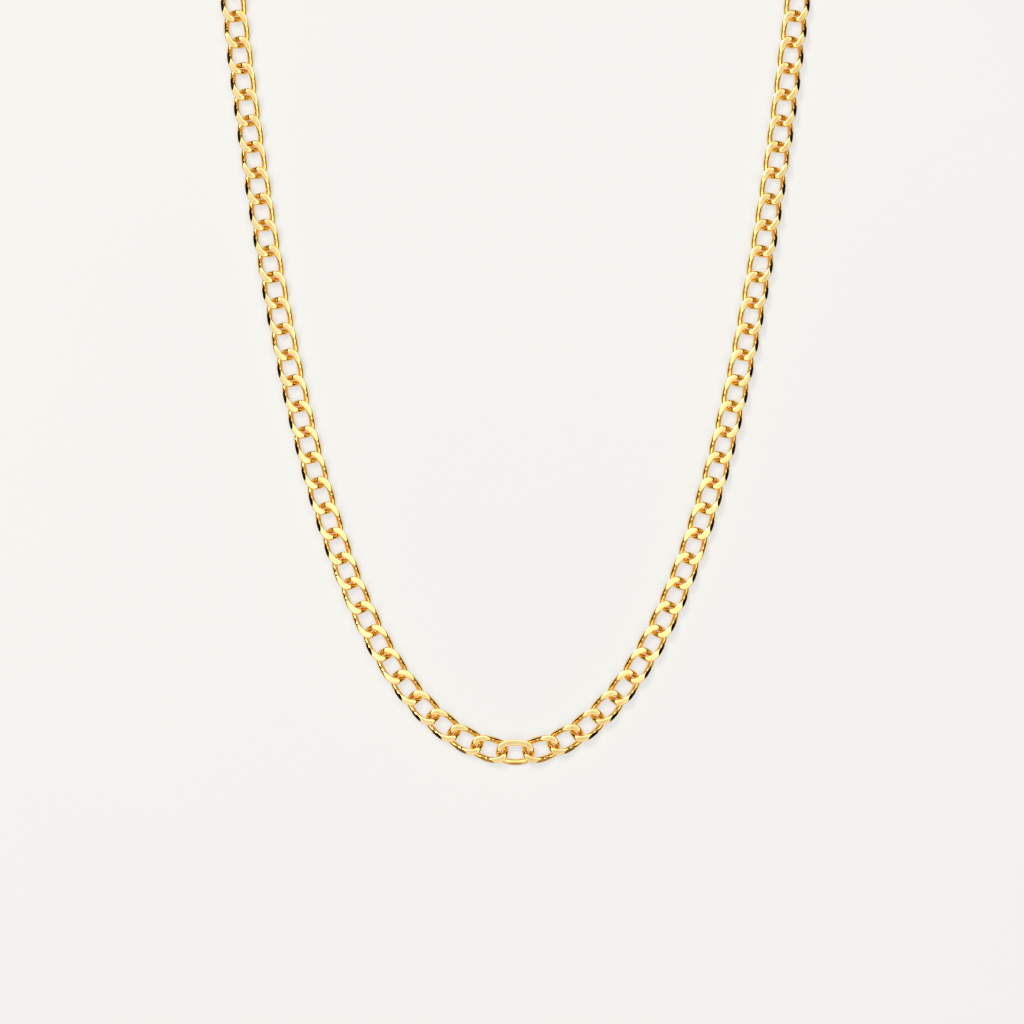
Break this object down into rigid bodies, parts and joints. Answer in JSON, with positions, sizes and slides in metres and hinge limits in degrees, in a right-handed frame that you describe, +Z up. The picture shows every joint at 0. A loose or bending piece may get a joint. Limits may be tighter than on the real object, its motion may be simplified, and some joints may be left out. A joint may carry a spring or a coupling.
{
  "type": "chain necklace",
  "caption": "Flat curb chain necklace of pressed oval links, laid open in a curve, with a lobster clasp on one end and a plain ring on the other.",
  "frame": {"origin": "on the surface the chain lies on, under the middle of the front link's outer bar", "axes": "+Y from the front link along both arms towards the clasp and the end ring, +Z up from the surface, +X towards the arm that carries the clasp"},
  "size_m": [0.1133, 0.2187, 0.0025],
  "materials": {
    "gold": "polished gold plate on brass",
    "steel": "plain wire"
  },
  "bodies": {
    "link_front": {"link_front": "gold"},
    "link_R01": {"link_R01": "gold"},
    "link_R02": {"link_R02": "gold"},
    "link_R03": {"link_R03": "gold"},
    "link_R04": {"link_R04": "gold"},
    "link_R05": {"link_R05": "gold"},
    "link_R06": {"link_R06": "gold"},
    "link_R07": {"link_R07": "gold"},
    "link_R08": {"link_R08": "gold"},
    "link_R09": {"link_R09": "gold"},
    "link_R10": {"link_R10": "gold"},
    "link_R11": {"link_R11": "gold"},
    "link_R12": {"link_R12": "gold"},
    "link_R13": {"link_R13": "gold"},
    "link_R14": {"link_R14": "gold"},
    "link_R15": {"link_R15": "gold"},
    "link_R16": {"link_R16": "gold"},
    "link_R17": {"link_R17": "gold"},
    "link_R18": {"link_R18": "gold"},
    "link_R19": {"link_R19": "gold"},
    "link_R20": {"link_R20": "gold"},
    "run_R1": {"run_R1": "gold"},
    "run_R2": {"run_R2": "gold"},
    "run_R3": {"run_R3": "gold"},
    "run_R4": {"run_R4": "gold"},
    "run_R5": {"run_R5": "gold"},
    "link_L01": {"link_L01": "gold"},
    "link_L02": {"link_L02": "gold"},
    "link_L03": {"link_L03": "gold"},
    "link_L04": {"link_L04": "gold"},
    "link_L05": {"link_L05": "gold"},
    "link_L06": {"link_L06": "gold"},
    "link_L07": {"link_L07": "gold"},
    "link_L08": {"link_L08": "gold"},
    "link_L09": {"link_L09": "gold"},
    "link_L10": {"link_L10": "gold"},
    "link_L11": {"link_L11": "gold"},
    "link_L12": {"link_L12": "gold"},
    "link_L13": {"link_L13": "gold"},
    "link_L14": {"link_L14": "gold"},
    "link_L15": {"link_L15": "gold"},
    "link_L16": {"link_L16": "gold"},
    "link_L17": {"link_L17": "gold"},
    "link_L18": {"link_L18": "gold"},
    "link_L19": {"link_L19": "gold"},
    "link_L20": {"link_L20": "gold"},
    "run_L1": {"run_L1": "gold"},
    "run_L2": {"run_L2": "gold"},
    "run_L3": {"run_L3": "gold"},
    "run_L4": {"run_L4": "gold"},
    "run_L5": {"run_L5": "gold"},
    "clasp_ring": {"clasp_jump_ring": "gold"},
    "clasp": {"clasp_body": "gold", "clasp_pivot_pin": "steel", "clasp_spring": "steel"},
    "clasp_lever": {"clasp_lever": "gold"},
    "end_ring": {"end_ring": "gold"}
  },
  "joints": [
    {"name": "link_R01_hinge", "type": "hinge", "parent": "link_front", "child": "link_R01", "pos_m": [0.00217, 0.00165, 0.00085], "axis": [0.0909, -0.7012, -0.7071], "range_deg": [-11, 27]},
    {"name": "link_R02_hinge", "type": "hinge", "parent": "link_R01", "child": "link_R02", "pos_m": [0.00636, 0.00276, 0.00085], "axis": [-0.2569, 0.6588, -0.7071], "range_deg": [-12, 27]},
    {"name": "link_R03_hinge", "type": "hinge", "parent": "link_R02", "child": "link_R03", "pos_m": [0.0102, 0.00478, 0.00085], "axis": [-0.3864, 0.5922, 0.7071], "range_deg": [-25, 13]},
    {"name": "link_R04_hinge", "type": "hinge", "parent": "link_R03", "child": "link_R04", "pos_m": [0.01361, 0.00748, 0.00085], "axis": [0.4778, -0.5212, 0.7071], "range_deg": [-24, 14]},
    {"name": "link_R05_hinge", "type": "hinge", "parent": "link_R04", "child": "link_R05", "pos_m": [0.01659, 0.01064, 0.00085], "axis": [0.5398, -0.4567, -0.7071], "range_deg": [-14, 23]},
    {"name": "link_R06_hinge", "type": "hinge", "parent": "link_R05", "child": "link_R06", "pos_m": [0.01922, 0.01411, 0.00085], "axis": [-0.5818, 0.4018, -0.7071], "range_deg": [-15, 22]},
    {"name": "link_R07_hinge", "type": "hinge", "parent": "link_R06", "child": "link_R07", "pos_m": [0.02153, 0.01779, 0.00085], "axis": [-0.6107, 0.3564, 0.7071], "range_deg": [-22, 15]},
    {"name": "link_R08_hinge", "type": "hinge", "parent": "link_R07", "child": "link_R08", "pos_m": [0.0236, 0.02162, 0.00085], "axis": [0.6312, -0.3188, 0.7071], "range_deg": [-22, 15]},
    {"name": "link_R09_hinge", "type": "hinge", "parent": "link_R08", "child": "link_R09", "pos_m": [0.02545, 0.02556, 0.00085], "axis": [0.646, -0.2876, -0.7071], "range_deg": [-16, 21]},
    {"name": "link_R10_hinge", "type": "hinge", "parent": "link_R09", "child": "link_R10", "pos_m": [0.02713, 0.02957, 0.00085], "axis": [-0.657, 0.2616, -0.7071], "range_deg": [-16, 21]},
    {"name": "link_R11_hinge", "type": "hinge", "parent": "link_R10", "child": "link_R11", "pos_m": [0.02867, 0.03364, 0.00085], "axis": [-0.6653, 0.2395, 0.7071], "range_deg": [-21, 16]},
    {"name": "link_R12_hinge", "type": "hinge", "parent": "link_R11", "child": "link_R12", "pos_m": [0.03008, 0.03775, 0.00085], "axis": [0.6718, -0.2207, 0.7071], "range_deg": [-21, 16]},
    {"name": "link_R13_hinge", "type": "hinge", "parent": "link_R12", "child": "link_R13", "pos_m": [0.03139, 0.0419, 0.00085], "axis": [0.6769, -0.2046, -0.7071], "range_deg": [-16, 21]},
    {"name": "link_R14_hinge", "type": "hinge", "parent": "link_R13", "child": "link_R14", "pos_m": [0.0326, 0.04608, 0.00085], "axis": [-0.681, 0.1905, -0.7071], "range_deg": [-16, 21]},
    {"name": "link_R15_hinge", "type": "hinge", "parent": "link_R14", "child": "link_R15", "pos_m": [0.03373, 0.05028, 0.00085], "axis": [-0.6843, 0.1782, 0.7071], "range_deg": [-20, 16]},
    {"name": "link_R16_hinge", "type": "hinge", "parent": "link_R15", "child": "link_R16", "pos_m": [0.03479, 0.0545, 0.00085], "axis": [0.687, -0.1673, 0.7071], "range_deg": [-20, 16]},
    {"name": "link_R17_hinge", "type": "hinge", "parent": "link_R16", "child": "link_R17", "pos_m": [0.03579, 0.05873, 0.00085], "axis": [0.6893, -0.1577, -0.7071], "range_deg": [-16, 20]},
    {"name": "link_R18_hinge", "type": "hinge", "parent": "link_R17", "child": "link_R18", "pos_m": [0.03673, 0.06298, 0.00085], "axis": [-0.6912, 0.1491, -0.7071], "range_deg": [-16, 20]},
    {"name": "link_R19_hinge", "type": "hinge", "parent": "link_R18", "child": "link_R19", "pos_m": [0.03762, 0.06724, 0.00085], "axis": [-0.6928, 0.1413, 0.7071], "range_deg": [-20, 16]},
    {"name": "link_R20_hinge", "type": "hinge", "parent": "link_R19", "child": "link_R20", "pos_m": [0.03847, 0.0715, 0.00085], "axis": [0.6942, -0.1343, 0.7071], "range_deg": [-20, 16]},
    {"name": "run_R1_hinge", "type": "hinge", "parent": "link_R20", "child": "run_R1", "pos_m": [0.03927, 0.07578, 0.00085], "axis": [0, 0, 1], "range_deg": [-15, 15]},
    {"name": "run_R2_hinge", "type": "hinge", "parent": "run_R1", "child": "run_R2", "pos_m": [0.04343, 0.10154, 0.00085], "axis": [0, 0, -1], "range_deg": [-15, 15]},
    {"name": "run_R3_hinge", "type": "hinge", "parent": "run_R2", "child": "run_R3", "pos_m": [0.04675, 0.12743, 0.00085], "axis": [0.9933, -0.1153, 0], "range_deg": [-15, 20]},
    {"name": "run_R4_hinge", "type": "hinge", "parent": "run_R3", "child": "run_R4", "pos_m": [0.04951, 0.15338, 0.00085], "axis": [0, 0, 1], "range_deg": [-15, 15]},
    {"name": "run_R5_hinge", "type": "hinge", "parent": "run_R4", "child": "run_R5", "pos_m": [0.05188, 0.17937, 0.00085], "axis": [-0.9964, 0.0844, 0], "range_deg": [-20, 15]},
    {"name": "link_L01_hinge", "type": "hinge", "parent": "link_front", "child": "link_L01", "pos_m": [-0.00217, 0.00165, 0.00085], "axis": [0.0909, 0.7012, 0.7071], "range_deg": [-11, 27]},
    {"name": "link_L02_hinge", "type": "hinge", "parent": "link_L01", "child": "link_L02", "pos_m": [-0.00636, 0.00276, 0.00085], "axis": [-0.2569, -0.6588, 0.7071], "range_deg": [-12, 27]},
    {"name": "link_L03_hinge", "type": "hinge", "parent": "link_L02", "child": "link_L03", "pos_m": [-0.0102, 0.00478, 0.00085], "axis": [-0.3864, -0.5922, -0.7071], "range_deg": [-25, 13]},
    {"name": "link_L04_hinge", "type": "hinge", "parent": "link_L03", "child": "link_L04", "pos_m": [-0.01361, 0.00748, 0.00085], "axis": [0.4778, 0.5212, -0.7071], "range_deg": [-24, 14]},
    {"name": "link_L05_hinge", "type": "hinge", "parent": "link_L04", "child": "link_L05", "pos_m": [-0.01659, 0.01064, 0.00085], "axis": [0.5398, 0.4567, 0.7071], "range_deg": [-14, 23]},
    {"name": "link_L06_hinge", "type": "hinge", "parent": "link_L05", "child": "link_L06", "pos_m": [-0.01922, 0.01411, 0.00085], "axis": [-0.5818, -0.4018, 0.7071], "range_deg": [-15, 22]},
    {"name": "link_L07_hinge", "type": "hinge", "parent": "link_L06", "child": "link_L07", "pos_m": [-0.02153, 0.01779, 0.00085], "axis": [-0.6107, -0.3564, -0.7071], "range_deg": [-22, 15]},
    {"name": "link_L08_hinge", "type": "hinge", "parent": "link_L07", "child": "link_L08", "pos_m": [-0.0236, 0.02162, 0.00085], "axis": [0.6312, 0.3188, -0.7071], "range_deg": [-22, 15]},
    {"name": "link_L09_hinge", "type": "hinge", "parent": "link_L08", "child": "link_L09", "pos_m": [-0.02545, 0.02556, 0.00085], "axis": [0.646, 0.2876, 0.7071], "range_deg": [-16, 21]},
    {"name": "link_L10_hinge", "type": "hinge", "parent": "link_L09", "child": "link_L10", "pos_m": [-0.02713, 0.02957, 0.00085], "axis": [-0.657, -0.2616, 0.7071], "range_deg": [-16, 21]},
    {"name": "link_L11_hinge", "type": "hinge", "parent": "link_L10", "child": "link_L11", "pos_m": [-0.02867, 0.03364, 0.00085], "axis": [-0.6653, -0.2395, -0.7071], "range_deg": [-21, 16]},
    {"name": "link_L12_hinge", "type": "hinge", "parent": "link_L11", "child": "link_L12", "pos_m": [-0.03008, 0.03775, 0.00085], "axis": [0.6718, 0.2207, -0.7071], "range_deg": [-21, 16]},
    {"name": "link_L13_hinge", "type": "hinge", "parent": "link_L12", "child": "link_L13", "pos_m": [-0.03139, 0.0419, 0.00085], "axis": [0.6769, 0.2046, 0.7071], "range_deg": [-16, 21]},
    {"name": "link_L14_hinge", "type": "hinge", "parent": "link_L13", "child": "link_L14", "pos_m": [-0.0326, 0.04608, 0.00085], "axis": [-0.681, -0.1905, 0.7071], "range_deg": [-16, 21]},
    {"name": "link_L15_hinge", "type": "hinge", "parent": "link_L14", "child": "link_L15", "pos_m": [-0.03373, 0.05028, 0.00085], "axis": [-0.6843, -0.1782, -0.7071], "range_deg": [-20, 16]},
    {"name": "link_L16_hinge", "type": "hinge", "parent": "link_L15", "child": "link_L16", "pos_m": [-0.03479, 0.0545, 0.00085], "axis": [0.687, 0.1673, -0.7071], "range_deg": [-20, 16]},
    {"name": "link_L17_hinge", "type": "hinge", "parent": "link_L16", "child": "link_L17", "pos_m": [-0.03579, 0.05873, 0.00085], "axis": [0.6893, 0.1577, 0.7071], "range_deg": [-16, 20]},
    {"name": "link_L18_hinge", "type": "hinge", "parent": "link_L17", "child": "link_L18", "pos_m": [-0.03673, 0.06298, 0.00085], "axis": [-0.6912, -0.1491, 0.7071], "range_deg": [-16, 20]},
    {"name": "link_L19_hinge", "type": "hinge", "parent": "link_L18", "child": "link_L19", "pos_m": [-0.03762, 0.06724, 0.00085], "axis": [-0.6928, -0.1413, -0.7071], "range_deg": [-20, 16]},
    {"name": "link_L20_hinge", "type": "hinge", "parent": "link_L19", "child": "link_L20", "pos_m": [-0.03847, 0.0715, 0.00085], "axis": [0.6942, 0.1343, -0.7071], "range_deg": [-20, 16]},
    {"name": "run_L1_hinge", "type": "hinge", "parent": "link_L20", "child": "run_L1", "pos_m": [-0.03927, 0.07578, 0.00085], "axis": [0, 0, -1], "range_deg": [-15, 15]},
    {"name": "run_L2_hinge", "type": "hinge", "parent": "run_L1", "child": "run_L2", "pos_m": [-0.04343, 0.10154, 0.00085], "axis": [0, 0, 1], "range_deg": [-15, 15]},
    {"name": "run_L3_hinge", "type": "hinge", "parent": "run_L2", "child": "run_L3", "pos_m": [-0.04675, 0.12743, 0.00085], "axis": [0.9933, 0.1153, 0], "range_deg": [-15, 20]},
    {"name": "run_L4_hinge", "type": "hinge", "parent": "run_L3", "child": "run_L4", "pos_m": [-0.04951, 0.15338, 0.00085], "axis": [0, 0, -1], "range_deg": [-15, 15]},
    {"name": "run_L5_hinge", "type": "hinge", "parent": "run_L4", "child": "run_L5", "pos_m": [-0.05188, 0.17937, 0.00085], "axis": [-0.9964, -0.0844, 0], "range_deg": [-20, 15]},
    {"name": "clasp_ring_swing", "type": "hinge", "parent": "run_R5", "child": "clasp_ring", "pos_m": [0.05395, 0.20539, 0.00085], "axis": [0, 0, 1], "range_deg": [-16, 16]},
    {"name": "clasp_fold", "type": "hinge", "parent": "clasp_ring", "child": "clasp", "pos_m": [0.05415, 0.20809, 0.00127], "axis": [0.9972, -0.0752, 0], "range_deg": [-28, 17]},
    {"name": "clasp_lever_hinge", "type": "hinge", "parent": "clasp", "child": "clasp_lever", "pos_m": [0.05459, 0.21056, 0.00127], "axis": [0, 0, 1], "range_deg": [0, 16], "stiffness_Nm_per_rad": 0.003, "springref_deg": -20.05},
    {"name": "end_ring_swing", "type": "hinge", "parent": "run_L5", "child": "end_ring", "pos_m": [-0.05395, 0.20539, 0.00085], "axis": [0, 0, -1], "range_deg": [-16, 16]}
  ]
}
